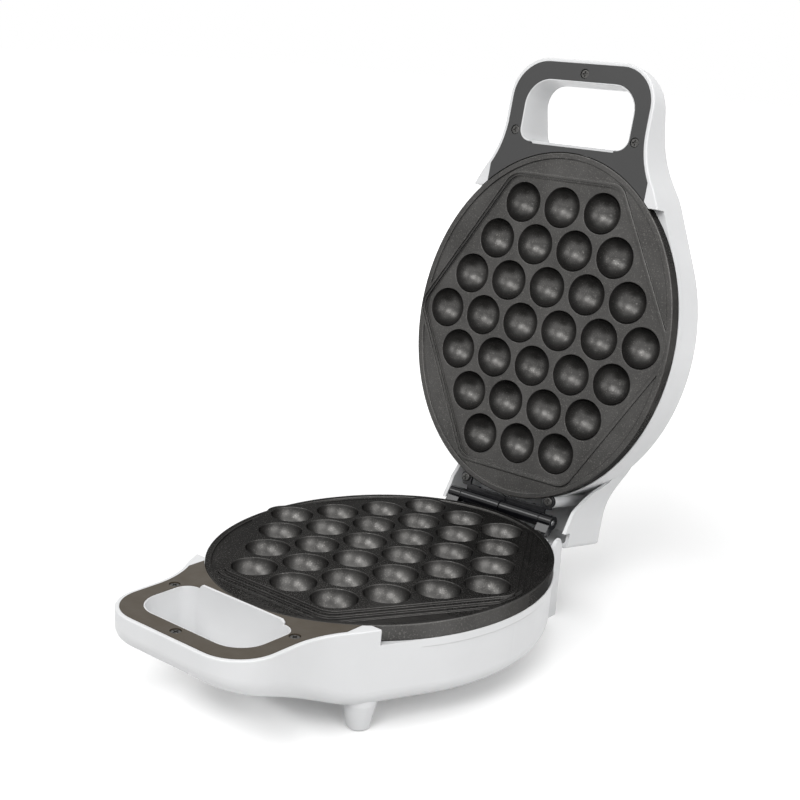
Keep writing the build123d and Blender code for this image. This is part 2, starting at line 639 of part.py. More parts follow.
def heater_element():
    """A tubular heater bent to a hexagon, open at the back, with a connection pin in each end."""
    tip_x = HEATER_SLANT * 2 / sqrt(3)
    corner_x = tip_x - HEATER_FLAT / sqrt(3)
    points = [(HEATER_END_X, HEATER_FLAT), (corner_x, HEATER_FLAT), (tip_x, 0), (corner_x, -HEATER_FLAT),
              (-corner_x, -HEATER_FLAT), (-tip_x, 0), (-corner_x, HEATER_FLAT), (-HEATER_END_X, HEATER_FLAT)]
    path = FilletPolyline(*[(x, y, HEATER_Z) for x, y in points], radius=HEATER_BEND)
    tube = sweep(Plane(path @ 0, z_dir=path % 0) * Circle(HEATER_RADIUS), path=path)
    for side in (-1, 1):
        middle = side * (HEATER_END_X - HEATER_PIN_LENGTH / 2)
        tube += Pos(middle, HEATER_FLAT, HEATER_Z) * Rot(0, 90, 0) * Cylinder(HEATER_PIN_RADIUS, HEATER_PIN_LENGTH)
    return tube


def clip_spots():
    """Middles of the four slanted runs of the heater."""
    return [(across * HEATER_SLANT * sqrt(3) / 2, along * HEATER_SLANT / 2) for across in (-1, 1) for along in (-1, 1)]


def clip_frame(x, y):
    """The plane of a clip: its X runs across the heater tube."""
    return Plane((x, y, 0), x_dir=(x, y, 0), z_dir=(0, 0, 1))


def clip_screw_hole(x, y, side):
    """Blind hole in a heater pad for one clip screw."""
    spot = clip_frame(x, y).from_local_coords(Vector(side * CLIP_SCREW_REACH, 0, 0))
    seat = HEATER_Z + HEATER_RADIUS
    return cylinder(spot.X, spot.Y, CLIP_SCREW_RADIUS + SCREW_GAP, seat, seat + CLIP_SCREW_LENGTH - 0.5)


def heater_clips():
    """Saddle straps that hold the tube against the pads of the plate."""
    seat = HEATER_Z + HEATER_RADIUS
    reach = CLIP_SCREW_REACH + 2.4
    outside = HEATER_RADIUS + CLIP_THICKNESS + 0.1
    inside = HEATER_RADIUS + 0.1
    arch = Pos(0, HEATER_Z) * (Circle(outside) - Circle(inside))
    arch += Pos(0, HEATER_Z + HEATER_RADIUS / 2) * (Rectangle(2 * outside, HEATER_RADIUS) - Rectangle(2 * inside, 9))
    arch -= Pos(0, HEATER_Z + 10) * Rectangle(2 * inside, 20)
    feet = Pos(0, seat - CLIP_THICKNESS / 2) * (Rectangle(2 * reach, CLIP_THICKNESS) - Rectangle(2 * inside + 1, 9))
    strap = extrude(Plane.XZ * (arch + feet), CLIP_WIDTH / 2, both=True)
    strap -= prism(Rectangle(60, 60), seat, seat + 20)
    for side in (-1, 1):
        strap -= cylinder(side * CLIP_SCREW_REACH, 0, 1.3, seat - 9, seat + 1)
    return [clip_frame(x, y).location * strap for x, y in clip_spots()]


def clip_screws():
    """Small screws of the heater clips, put in from below."""
    seat = HEATER_Z + HEATER_RADIUS - CLIP_THICKNESS
    screws = []
    for x, y in clip_spots():
        for side in (-1, 1):
            spot = clip_frame(x, y).from_local_coords(Vector(side * CLIP_SCREW_REACH, 0, 0))
            shank = cylinder(spot.X, spot.Y, CLIP_SCREW_RADIUS, seat, seat + CLIP_SCREW_LENGTH)
            head = cylinder(spot.X, spot.Y, CLIP_SCREW_HEAD_RADIUS, seat - CLIP_SCREW_HEAD, seat)
            screws.append(shank + head)
    return screws


def heat_shield():
    """A pressed oval sheet with a turned down edge and holes for the plate screws."""
    low = SHIELD_TOP - SHIELD_THICKNESS
    plan = Ellipse(SHIELD_X, SHIELD_Y)
    sheet = prism(plan, low, SHIELD_TOP)
    edge_room = Ellipse(SHIELD_X - SHIELD_THICKNESS, SHIELD_Y - SHIELD_THICKNESS)
    edge = prism(plan - edge_room, low - SHIELD_EDGE, low)
    holes = Part() + [cylinder(x, y, POST_SCREW_RADIUS + 0.3, low - 1, SHIELD_TOP + 1) for x, y in POSTS]
    return sheet + edge - holes


def plate_screws():
    """Long screws from outside, through post and shield into the plate's bosses."""
    head_end = POST_SCREW_SEAT - POST_SCREW_HEAD
    arm, width, depth = POST_SCREW_CROSS
    slot = Rectangle(arm, width) + Rectangle(width, arm)
    screws = []
    for x, y in POSTS:
        shank = cylinder(x, y, POST_SCREW_RADIUS, POST_SCREW_SEAT, POST_SCREW_TIP)
        head = cylinder(x, y, POST_SCREW_HEAD_RADIUS, head_end, POST_SCREW_SEAT)
        screws.append(shank + head - prism(Pos(x, y) * slot, head_end - 1, head_end + depth))
    return screws


# Electrical parts

def thermostat():
    """A disc thermostat against the pad in the middle of the lower plate, with two tabs."""
    top = HEATER_Z + HEATER_RADIUS
    low = top - THERMOSTAT_HEIGHT
    body = cylinder(0, 0, THERMOSTAT_RADIUS, low, top)
    return body + [Pos(side * TAB_X, 0, low - TAB_SIZE[2] / 2) * Box(*TAB_SIZE) for side in (-1, 1)]


def thermal_fuse():
    """A small sealed fuse with a mounting tab, clamped under one cup of the lower plate."""
    top = PLATFORM_RISE - CELL_DEPTH - CUP_WALL
    x, y = cell_centres()[FUSE_CELL]
    tab = Pos(x, y, top - FUSE_TAB[2] / 2) * Box(*FUSE_TAB)
    return tab + Pos(x, y, top - FUSE_TAB[2] / 2 - FUSE_RADIUS) * Rot(0, 90, 0) * Cylinder(FUSE_RADIUS, FUSE_LENGTH)


def terminal_block():
    """A three-way terminal block on the floor of the base."""
    floor = BODY_BOTTOM + SLOPE_LIFT
    width, length, height = BLOCK_SIZE
    block = Pos(0, BLOCK_Y, floor + height / 2) * Box(width, length, height)
    for x in (-BLOCK_PITCH, 0, BLOCK_PITCH):
        block -= cylinder(x, BLOCK_Y, BLOCK_SCREW_BORE, floor + height / 3, floor + height + 1)
        block -= Pos(x, BLOCK_Y, floor + height / 3) * Rot(90, 0, 0) * Cylinder(BLOCK_WIRE_BORE, length + 4)
    return block


def cord_gland():
    """A rubber grommet in the rear wall of the base, where the supply cord enters."""
    rim = GLAND_RIM
    neck = Cylinder(GLAND_NECK, WALL + 2 * rim)
    outer = Pos(0, 0, (WALL + rim) / 2) * Cylinder(GLAND_FLANGE, rim)
    inner = Pos(0, 0, -(WALL + rim) / 2) * Cylinder(GLAND_FLANGE - 1.5, rim)
    gland = neck + fillet(outer.edges().group_by(Axis.Z)[-1], rim / 2) + inner - Cylinder(GLAND_BORE, 20)
    return Pos(GLAND_X, BASE_NECK_REAR - WALL / 2, GLAND_Z) * Rot(-90, 0, 0) * gland


def indicator_lens():
    """A round domed lens that stands out of the lid's outer face."""
    dome = cylinder(LENS_X, LENS_Y, LENS_RADIUS, BODY_BOTTOM - LENS_PROUD, BODY_BOTTOM + EDGE_ROUND)
    dome = fillet(dome.edges().group_by(Axis.Z)[0], LENS_ROUND) - shell_outer()
    stem = cylinder(LENS_X, LENS_Y, STEM_RADIUS, BODY_BOTTOM, BODY_BOTTOM + STEM_END)
    bore = cylinder(LENS_X, LENS_Y, LAMP_BORE, BODY_BOTTOM + 2, BODY_BOTTOM + STEM_END + 1)
    return dome + (stem - bore)


def indicator_lamp():
    """The small lamp that stands in the lens."""
    return cylinder(LENS_X, LENS_Y, LAMP_RADIUS, BODY_BOTTOM + 3, BODY_BOTTOM + STEM_END - 1)


# Assembly

def base_place(piece):
    """Put a piece of the lower half into the finished frame."""
    return Pos(0, 0, -FLOOR_Z) * piece


def lid_place(piece):
    """Turn a piece of the upper half over, lift it by the rim gap and swing it open."""
    closed = Pos(0, 0, PLATE_GAP) * Rot(0, 180, 0) * piece
    return Pos(0, HINGE_Y, -FLOOR_Z) * Rot(-OPEN_ANGLE, 0, 0) * Pos(0, -HINGE_Y, 0) * closed


def build():
    """All pieces by name, before centring."""
    base = {
        "lower_housing": [lower_housing()],
        "lower_handle_cover": [handle_cover(HOLE_WALL + 0.2)],
        "lower_handle_screws": handle_screws(),
        "lower_cooking_plate": [lower_plate()],
        "lower_heater_element": [heater_element()],
        "lower_heater_clips": heater_clips(),
        "lower_clip_screws": clip_screws(),
        "lower_heat_shield": [heat_shield()],
        "lower_plate_screws": plate_screws(),
        "hinge_bracket": [hinge_bracket()],
        "hinge_bracket_screws": pad_screws(BASE_PAD, BASE_PAD_TOP),
        "hinge_pin": [hinge_pin()],
        "cord_gland": [cord_gland()],
        "terminal_block": [terminal_block()],
        "thermostat": [thermostat()],
        "thermal_fuse": [thermal_fuse()],
    }
    lid = {
        "upper_housing": [upper_housing()],
        "upper_handle_cover": [handle_cover(HOLE_WALL)],
        "upper_handle_screws": handle_screws(),
        "upper_cooking_plate": [upper_plate()],
        "upper_heater_element": [heater_element()],
        "upper_heater_clips": heater_clips(),
        "upper_clip_screws": clip_screws(),
        "upper_heat_shield": [heat_shield()],
        "upper_plate_screws": plate_screws(),
        "hinge_leaf_left": [hinge_leaf(1)],
        "hinge_leaf_right": [hinge_leaf(-1)],
        "hinge_leaf_screws": pad_screws(LEAF_PAD, LEAF_PAD_TOP),
        "indicator_lens": [indicator_lens()],
        "indicator_lamp": [indicator_lamp()],
    }
    placed = {name: [base_place(solid) for solid in solids] for name, solids in base.items()}
    placed.update({name: [lid_place(solid) for solid in solids] for name, solids in lid.items()})
    return placed


def main():
    """Centre the open appliance over the origin and write one file per sub-part."""
    placed = build()
    boxes = [solid.bounding_box() for solids in placed.values() for solid in solids]
    front = min(box.min.Y for box in boxes)
    rear = max(box.max.Y for box in boxes)
    centre_y = round((front + rear) / 2, 1)
    for name, solids in placed.items():
        solids = [Pos(0, -centre_y, 0) * solid for solid in solids]
        shape = solids[0] if len(solids) == 1 else Compound(children=solids)
        export_step(shape, f"parts/{name}.step")
    print("hinge axis at y", HINGE_Y - centre_y, "z", -FLOOR_Z)
    print("y from", front, "to", rear, "top", max(box.max.Z for box in boxes))


main()
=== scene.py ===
"""Finishes of an egg waffle pan, a hinged electric maker with two plates of thirty round cells, and its studio.

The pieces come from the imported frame. Each operator below finishes one group of like pieces, and the last one
sets up the floor, the lamps and the camera. All lengths are metres.
"""
import json

import bpy
from bpy.props import FloatProperty, FloatVectorProperty, PointerProperty
from math import radians
from mathutils import Matrix, Vector


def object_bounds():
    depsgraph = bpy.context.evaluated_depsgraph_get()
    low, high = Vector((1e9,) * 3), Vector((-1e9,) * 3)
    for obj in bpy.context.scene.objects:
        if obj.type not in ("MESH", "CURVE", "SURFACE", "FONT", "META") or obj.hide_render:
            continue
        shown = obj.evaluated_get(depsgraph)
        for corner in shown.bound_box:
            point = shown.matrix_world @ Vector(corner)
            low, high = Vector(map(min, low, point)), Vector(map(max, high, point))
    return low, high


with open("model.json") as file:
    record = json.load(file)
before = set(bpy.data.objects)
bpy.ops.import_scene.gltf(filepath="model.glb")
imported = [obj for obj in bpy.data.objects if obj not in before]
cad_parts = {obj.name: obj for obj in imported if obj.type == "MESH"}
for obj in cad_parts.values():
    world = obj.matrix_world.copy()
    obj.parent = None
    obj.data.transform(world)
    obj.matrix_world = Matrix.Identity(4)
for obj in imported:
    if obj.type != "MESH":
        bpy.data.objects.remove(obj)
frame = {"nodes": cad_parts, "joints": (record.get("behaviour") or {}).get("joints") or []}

bl_info = {
    "name": "Egg Waffle Pan",
    "version": (1, 0, 0),
    "blender": (4, 5, 0),
    "location": "3D View > Sidebar > Waffle Pan",
    "description": "Finishes the pieces of an egg waffle pan and lights them in a small studio",
    "category": "Object",
}

FRAME_LOW, FRAME_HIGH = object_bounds()
HINGE_HEIGHT = frame["joints"][0]["pos_m"][2]

# How softly each finish turns over its edges
HOUSING_EDGE = 0.0006
PLASTIC_EDGE = 0.0003
PLATE_EDGE = 0.0007
HINGE_EDGE = 0.0005
SCREW_EDGE = 0.00015
METAL_EDGE = 0.0002
CERAMIC_EDGE = 0.0003

# Widths of the patterns in the finishes
FLOW_MARK = 0.045
PLASTIC_GLOSS_PATCH = 0.009
COATING_PATCH = 0.028
COATING_SHEEN_PATCH = 0.006
PAINT_WEAR_PATCH = 0.007
PAINT_RIPPLE = 0.0022
OXIDE_RUB_PATCH = 0.0012
METAL_TINT_PATCH = 0.03
RUBBER_BLOOM_PATCH = 0.004
RUBBER_GRAIN = 0.0005
GLAZE_MOTTLE = 0.003
LENS_HAZE_PATCH = 0.002
LAMP_SMEAR_PATCH = 0.0015

# Heights of the patterns that rise
PAINT_RIPPLE_DEPTH = 0.00003
METAL_LINE_DEPTH = 0.000008
RUBBER_GRAIN_DEPTH = 0.00003

# The lamps: name, place, width and height. Their powers are settings of the stage.
LAMPS = (
    ("key", (0.46, -1.55, 1.30), 0.9, 0.7),
    ("side", (-0.75, -1.15, 1.40), 1.2, 0.6),
    ("fill", (1.70, -0.35, 0.80), 1.4, 1.0),
    ("top", (0.52, 0.48, 1.85), 2.0, 2.0),
)
LAMP_TARGET = (0.0, 0.03, HINGE_HEIGHT * 2.0)
FLOOR_SIZE = 24.0
SENSOR_WIDTH = 36.0


# Settings that a user would change


def colour_setting(name, description, default):
    """A colour in the panel, as linear red, green and blue."""
    return FloatVectorProperty(
        name=name, description=description, default=default, size=3, min=0.0, max=1.0, subtype="COLOR"
    )


def length_setting(name, description, default):
    """A length in the panel, in metres."""
    return FloatProperty(name=name, description=description, default=default, min=0.0, unit="LENGTH", precision=5)


def power_setting(name, description, default):
    """A lamp's power in the panel, in watts."""
    return FloatProperty(name=name, description=description, default=default, min=0.0, unit="POWER")


class PanPlasticSettings(bpy.types.PropertyGroup):
    """Colours and grain of the moulded pieces."""

    housing: colour_setting("Housing", "White of the two housings", (0.630, 0.634, 0.640))
    lower_cover: colour_setting("Lower cover", "Warm grey of the base's handle cover", (0.044, 0.034, 0.022))
    upper_cover: colour_setting("Upper cover", "Grey of the lid's handle cover", (0.038, 0.038, 0.038))
    cover_shine: FloatProperty(
        name="Cover shine", description="How strongly the covers' matte faces reflect", default=0.3, min=0.0, max=1.0
    )
    terminal: colour_setting("Terminal", "Off-white of the terminal block", (0.62, 0.60, 0.54))
    lens: colour_setting("Lens", "Milky plastic of the indicator lens", (0.78, 0.80, 0.83))
    grain_size: length_setting("Grain size", "Width of one bump of the housings' fine grain", 0.0006)
    grain_depth: length_setting("Grain depth", "Height of the housings' fine grain", 0.000012)
    cover_grain_size: length_setting("Cover grain size", "Width of one bump of the covers' matte grain", 0.0007)
    cover_grain_depth: length_setting("Cover grain depth", "Height of the covers' matte grain", 0.00004)


class PanMetalSettings(bpy.types.PropertyGroup):
    """Colours of the cast, pressed and turned pieces."""

    coating: colour_setting("Coating", "Non-stick coating of the plates", (0.065, 0.0635, 0.0615))
    coating_speck: colour_setting("Coating speck", "Pale specks in the coating", (0.120, 0.116, 0.110))
    speck_size: length_setting("Speck size", "Width of one speck of the coating", 0.0007)
    peel_size: length_setting("Peel size", "Width of one ripple of the sprayed coating", 0.0016)
    peel_depth: length_setting("Peel depth", "Height of the sprayed coating's ripple", 0.00002)
    hinge: colour_setting("Hinge", "Gloss black of the hinge", (0.004, 0.004, 0.005))
    screw: colour_setting("Screw", "Black oxide of the visible screws", (0.055, 0.054, 0.052))
    steel: colour_setting("Steel", "Plain steel of the pin, clips and inner screws", (0.55, 0.55, 0.56))
    sheath: colour_setting("Sheath", "Annealed sheath of the heaters", (0.33, 0.30, 0.27))
    sheath_tint: colour_setting("Sheath tint", "Straw tint that heat leaves on the sheath", (0.36, 0.27, 0.17))
    shield: colour_setting("Shield", "Bright rolled sheet of the heat shields", (0.72, 0.72, 0.73))


class PanStudioSettings(bpy.types.PropertyGroup):
    """Floor, lamps and camera."""

    floor: colour_setting("Floor", "Pale floor, as it is seen", (0.93, 0.93, 0.93))
    floor_bounce: colour_setting("Floor bounce", "The floor's colour in the light it throws back", (0.60, 0.60, 0.60))
    near_glow: FloatProperty(
        name="Near glow", description="Glow that the camera adds to the floor round the object", default=0.12, min=0.0
    )
    far_glow: FloatProperty(
        name="Far glow", description="The same glow out of the lamps' reach", default=0.95, min=0.0
    )
    glow_start: length_setting("Glow start", "Distance at which the floor's glow starts to rise", 0.30)
    glow_end: length_setting("Glow end", "Distance at which the floor's glow is full", 1.30)
    ambient: FloatProperty(
        name="Ambient", description="Strength of the studio's all-round light", default=0.25, min=0.0
    )
    key_power: power_setting("Key", "Power of the lamp at the front", 19.0)
    side_power: power_setting("Side", "Power of the lamp at the left", 12.0)
    fill_power: power_setting("Fill", "Power of the lamp at the right", 15.0)
    top_power: power_setting("Top", "Power of the large lamp overhead", 18.0)
    camera_place: FloatVectorProperty(
        name="Camera", description="Where the camera stands", default=(0.4811, -0.6260, 0.3646), subtype="TRANSLATION"
    )
    azimuth: FloatProperty(
        name="Azimuth", description="Turn of the camera from looking along +Y", default=radians(38.10), subtype="ANGLE"
    )
    elevation: FloatProperty(
        name="Elevation", description="Height of the camera's view above level", default=radians(14.83), subtype="ANGLE"
    )
    roll: FloatProperty(name="Roll", description="Lean of the camera", default=radians(3.97), subtype="ANGLE")
    focal_length: FloatProperty(
        name="Focal length", description="Focal length on a 36 mm sensor, in millimetres", default=60.9, min=1.0
    )


# Shader nodes


def start_material(name, colour, roughness, metallic=0.0):
    """A new material and its shader, with the constant values on the shader's own sockets."""
    material = bpy.data.materials.new(name)
    material.use_nodes = True
    shader = material.node_tree.nodes["Principled BSDF"]
    shader.inputs["Base Color"].default_value = (*colour, 1.0)
    shader.inputs["Roughness"].default_value = roughness
    shader.inputs["Metallic"].default_value = metallic
    return material, shader


def add_node(material, kind, **values):
    """A node of that kind, with values for its inputs by name."""
    node = material.node_tree.nodes.new(kind)
    for name, value in values.items():
        node.inputs[name.replace("_", " ")].default_value = value
    return node


def link(material, output, socket):
    """Joins an output to an input."""
    material.node_tree.links.new(output, socket)


def object_noise(material, size, detail=2.0, stretch=(1.0, 1.0, 1.0)):
    """Noise in the object's own coordinates, with blobs about that size across before they are stretched."""
    place = add_node(material, "ShaderNodeTexCoord")
    mapping = add_node(material, "ShaderNodeMapping", Scale=stretch)
    noise = add_node(material, "ShaderNodeTexNoise", Scale=1.0 / size, Detail=detail)
    link(material, place.outputs["Object"], mapping.inputs["Vector"])
    link(material, mapping.outputs["Vector"], noise.inputs["Vector"])
    return noise.outputs["Fac"]


def ramp(material, value, start, end, low, high):
    """The value carried from the range start to end over to the range low to high, and held there."""
    node = add_node(material, "ShaderNodeMapRange", From_Min=start, From_Max=end, To_Min=low, To_Max=high)
    link(material, value, node.inputs["Value"])
    return node.outputs["Result"]


def blend_colours(material, factor, first, second):
    """The first colour where the factor is 0 and the second where it is 1. Either may be a node's output."""
    node = material.node_tree.nodes.new("ShaderNodeMix")
    node.data_type = "RGBA"
    link(material, factor, node.inputs["Factor"])
    for socket, colour in ((node.inputs[6], first), (node.inputs[7], second)):
        if isinstance(colour, bpy.types.NodeSocket):
            link(material, colour, socket)
        else:
            socket.default_value = (*colour, 1.0)
    return node.outputs[2]


def round_edges(material, radius):
    """Normals that turn softly over sharp edges, as if those were broken by that radius."""
    node = add_node(material, "ShaderNodeBevel", Radius=radius)
    node.samples = 6
    return node.outputs["Normal"]


def add_relief(material, height, depth, normal=None):
    """Normals of a surface that rises by that depth where the height is 1."""
    node = add_node(material, "ShaderNodeBump", Strength=1.0, Distance=depth)
    link(material, height, node.inputs["Height"])
    if normal is not None:
        link(material, normal, node.inputs["Normal"])
    return node.outputs["Normal"]


def combine(material, operation, first, second):
    """The two values joined by that operation of a Math node."""
    node = material.node_tree.nodes.new("ShaderNodeMath")
    node.operation = operation
    link(material, first, node.inputs[0])
    link(material, second, node.inputs[1])
    return node.outputs[0]


def scaled(colour, factor):
    """The colour, brighter or darker by that factor."""
    return tuple(min(1.0, channel * factor) for channel in colour)


# Finishes


def moulded_plastic(name, colour, roughness, grain_size, grain_depth, edge=PLASTIC_EDGE, shine=0.5):
    """Injection-moulded plastic: faint flow marks in the colour, uneven gloss and a fine even grain."""
    material, shader = start_material(name, colour, roughness)
    shader.inputs["Specular IOR Level"].default_value = shine
    tone = ramp(material, object_noise(material, FLOW_MARK, detail=3.0), 0.3, 0.7, 0.0, 1.0)
    body = blend_colours(material, tone, scaled(colour, 0.975), scaled(colour, 1.02))
    link(material, body, shader.inputs["Base Color"])
    gloss = object_noise(material, PLASTIC_GLOSS_PATCH, detail=4.0)
    link(material, ramp(material, gloss, 0.3, 0.7, roughness - 0.05, roughness + 0.05), shader.inputs["Roughness"])
    grain = object_noise(material, grain_size, detail=1.5)
    relief = add_relief(material, grain, grain_depth, round_edges(material, edge))
    link(material, relief, shader.inputs["Normal"])
    return material


def non_stick_coating(settings):
    """Sprayed and baked coating on cast aluminium.

    It is dark and satin, with soft patches, pale specks and an orange-peel ripple. The tint keeps it dark where it
    is seen at a slant.
    """
    material, shader = start_material("non_stick", settings.coating, 0.36, metallic=0.9)
    shader.inputs["Specular Tint"].default_value = (0.15, 0.15, 0.15, 1.0)
    patches = ramp(material, object_noise(material, COATING_PATCH, detail=4.0), 0.32, 0.68, 0.0, 1.0)
    body = blend_colours(material, patches, scaled(settings.coating, 0.85), scaled(settings.coating, 1.18))
    specks = ramp(material, object_noise(material, settings.speck_size, detail=0.0), 0.62, 0.78, 0.0, 1.0)
    link(material, blend_colours(material, specks, body, settings.coating_speck), shader.inputs["Base Color"])
    sheen = object_noise(material, COATING_SHEEN_PATCH, detail=3.0)
    link(material, ramp(material, sheen, 0.3, 0.7, 0.33, 0.39), shader.inputs["Roughness"])
    peel = object_noise(material, settings.peel_size, detail=2.0)
    relief = add_relief(material, peel, settings.peel_depth, round_edges(material, PLATE_EDGE))
    link(material, relief, shader.inputs["Normal"])
    return material


def gloss_black(settings):
    """Gloss black paint with a faint ripple and duller, dustier patches."""
    material, shader = start_material("hinge_black", settings.hinge, 0.14)
    shader.inputs["Specular IOR Level"].default_value = 0.35
    wear = object_noise(material, PAINT_WEAR_PATCH, detail=5.0)
    link(material, ramp(material, wear, 0.35, 0.75, 0.11, 0.20), shader.inputs["Roughness"])
    dust = ramp(material, wear, 0.45, 0.8, 0.0, 1.0)
    body = blend_colours(material, dust, settings.hinge, scaled(settings.hinge, 2.0))
    link(material, body, shader.inputs["Base Color"])
    ripple = object_noise(material, PAINT_RIPPLE, detail=2.0)
    relief = add_relief(material, ripple, PAINT_RIPPLE_DEPTH, round_edges(material, HINGE_EDGE))
    link(material, relief, shader.inputs["Normal"])
    return material


def black_oxide(settings):
    """Blackened steel, thinner and greyer in small patches."""
    material, shader = start_material("screw_dark", settings.screw, 0.38, metallic=0.85)
    rub = ramp(material, object_noise(material, OXIDE_RUB_PATCH, detail=3.0), 0.4, 0.75, 0.0, 1.0)
    body = blend_colours(material, rub, settings.screw, scaled(settings.screw, 2.2))
    link(material, body, shader.inputs["Base Color"])
    link(material, ramp(material, rub, 0.0, 1.0, 0.45, 0.30), shader.inputs["Roughness"])
    link(material, round_edges(material, SCREW_EDGE), shader.inputs["Normal"])
    return material


def drawn_metal(name, colour, roughness, grain, stretch, tint):
    """Bare metal with long fine lines from its drawing or rolling, and a slow drift to the tint."""
    material, shader = start_material(name, colour, roughness, metallic=1.0)
    drift = ramp(material, object_noise(material, METAL_TINT_PATCH, detail=3.0), 0.35, 0.65, 0.0, 1.0)
    link(material, blend_colours(material, drift, colour, tint), shader.inputs["Base Color"])
    lines = object_noise(material, grain, detail=2.0, stretch=stretch)
    link(material, ramp(material, lines, 0.3, 0.7, roughness - 0.08, roughness + 0.1), shader.inputs["Roughness"])
    relief = add_relief(material, lines, METAL_LINE_DEPTH, round_edges(material, METAL_EDGE))
    link(material, relief, shader.inputs["Normal"])
    return material


def soft_rubber():
    """Matte rubber with a dusty bloom."""
    material, shader = start_material("rubber", (0.022, 0.022, 0.023), 0.72)
    bloom = ramp(material, object_noise(material, RUBBER_BLOOM_PATCH, detail=4.0), 0.4, 0.8, 0.0, 1.0)
    body = blend_colours(material, bloom, (0.020, 0.020, 0.021), (0.045, 0.044, 0.043))
    link(material, body, shader.inputs["Base Color"])
    grain = object_noise(material, RUBBER_GRAIN)
    link(material, add_relief(material, grain, RUBBER_GRAIN_DEPTH), shader.inputs["Normal"])
    return material


def glazed_ceramic():
    """Glazed porcelain with a faint mottle under a clear coat."""
    material, shader = start_material("ceramic", (0.72, 0.69, 0.62), 0.30)
    shader.inputs["Coat Weight"].default_value = 0.6
    shader.inputs["Coat Roughness"].default_value = 0.08
    mottle = ramp(material, object_noise(material, GLAZE_MOTTLE, detail=3.0), 0.35, 0.7, 0.0, 1.0)
    body = blend_colours(material, mottle, (0.74, 0.71, 0.64), (0.64, 0.60, 0.52))
    link(material, body, shader.inputs["Base Color"])
    link(material, round_edges(material, CERAMIC_EDGE), shader.inputs["Normal"])
    return material


def milky_lens(settings):
    """Polished milky plastic that lets a little light through."""
    material, shader = start_material("lens_clear", settings.lens, 0.12)
    shader.inputs["Transmission Weight"].default_value = 0.25
    shader.inputs["IOR"].default_value = 1.49
    haze = object_noise(material, LENS_HAZE_PATCH, detail=3.0)
    link(material, ramp(material, haze, 0.35, 0.7, 0.08, 0.2), shader.inputs["Roughness"])
    return material


def lamp_glass():
    """Clear glass of the neon lamp, warm from the electrodes inside."""
    material, shader = start_material("lamp_glass", (0.95, 0.62, 0.42), 0.05)
    shader.inputs["Transmission Weight"].default_value = 0.85
    smear = object_noise(material, LAMP_SMEAR_PATCH, detail=3.0)
    link(material, ramp(material, smear, 0.4, 0.8, 0.03, 0.16), shader.inputs["Roughness"])
    return material


def dress(material, *names):
    """Puts the material on every slot of those pieces."""
    for name in names:
        for slot in frame["nodes"][name].material_slots:
            slot.material = material


# Operators, one for each group of like pieces


class PAN_OT_finish_housings(bpy.types.Operator):
    """Finish the two white housings"""

    bl_idname = "pan.finish_housings"
    bl_label = "Finish Housings"

    def execute(self, context):
        plastic = context.scene.pan_plastic
        white = moulded_plastic(
            "white_plastic", plastic.housing, 0.36, plastic.grain_size, plastic.grain_depth, edge=HOUSING_EDGE
        )
        dress(white, "lower_housing", "upper_housing")
        return {"FINISHED"}


class PAN_OT_finish_handle_covers(bpy.types.Operator):
    """Finish the dark covers round the two handle loops"""

    bl_idname = "pan.finish_handle_covers"
    bl_label = "Finish Handle Covers"

    def execute(self, context):
        plastic = context.scene.pan_plastic
        for half, colour in (("lower", plastic.lower_cover), ("upper", plastic.upper_cover)):
            cover = moulded_plastic(
                f"{half}_cover_plastic",
                colour,
                roughness=0.50,
                grain_size=plastic.cover_grain_size,
                grain_depth=plastic.cover_grain_depth,
                shine=plastic.cover_shine,
            )
            dress(cover, f"{half}_handle_cover")
        return {"FINISHED"}


class PAN_OT_finish_plates(bpy.types.Operator):
    """Finish the two cooking plates with their non-stick coating"""

    bl_idname = "pan.finish_plates"
    bl_label = "Finish Cooking Plates"

    def execute(self, context):
        dress(non_stick_coating(context.scene.pan_metal), "lower_cooking_plate", "upper_cooking_plate")
        return {"FINISHED"}


class PAN_OT_finish_hinge(bpy.types.Operator):
    """Finish the hinge's bracket, leaves and pin"""

    bl_idname = "pan.finish_hinge"
    bl_label = "Finish Hinge"

    def execute(self, context):
        metal = context.scene.pan_metal
        dress(gloss_black(metal), "hinge_bracket", "hinge_leaf_left", "hinge_leaf_right")
        pin = drawn_metal(
            "steel_pin", metal.steel, 0.28, grain=0.0008, stretch=(0.05, 1.0, 1.0), tint=scaled(metal.steel, 0.85)
        )
        dress(pin, "hinge_pin")
        return {"FINISHED"}


class PAN_OT_finish_screws(bpy.types.Operator):
    """Finish the black screws that show and the plain ones inside"""

    bl_idname = "pan.finish_screws"
    bl_label = "Finish Screws"

    def execute(self, context):
        metal = context.scene.pan_metal
        black = black_oxide(metal)
        dress(black, "lower_handle_screws", "upper_handle_screws", "hinge_bracket_screws", "hinge_leaf_screws")
        plain = drawn_metal(
            "steel_screws", metal.steel, 0.32, grain=0.0010, stretch=(1.0, 1.0, 0.3), tint=scaled(metal.steel, 0.8)
        )
        dress(plain, "lower_clip_screws", "upper_clip_screws", "lower_plate_screws", "upper_plate_screws")
        return {"FINISHED"}


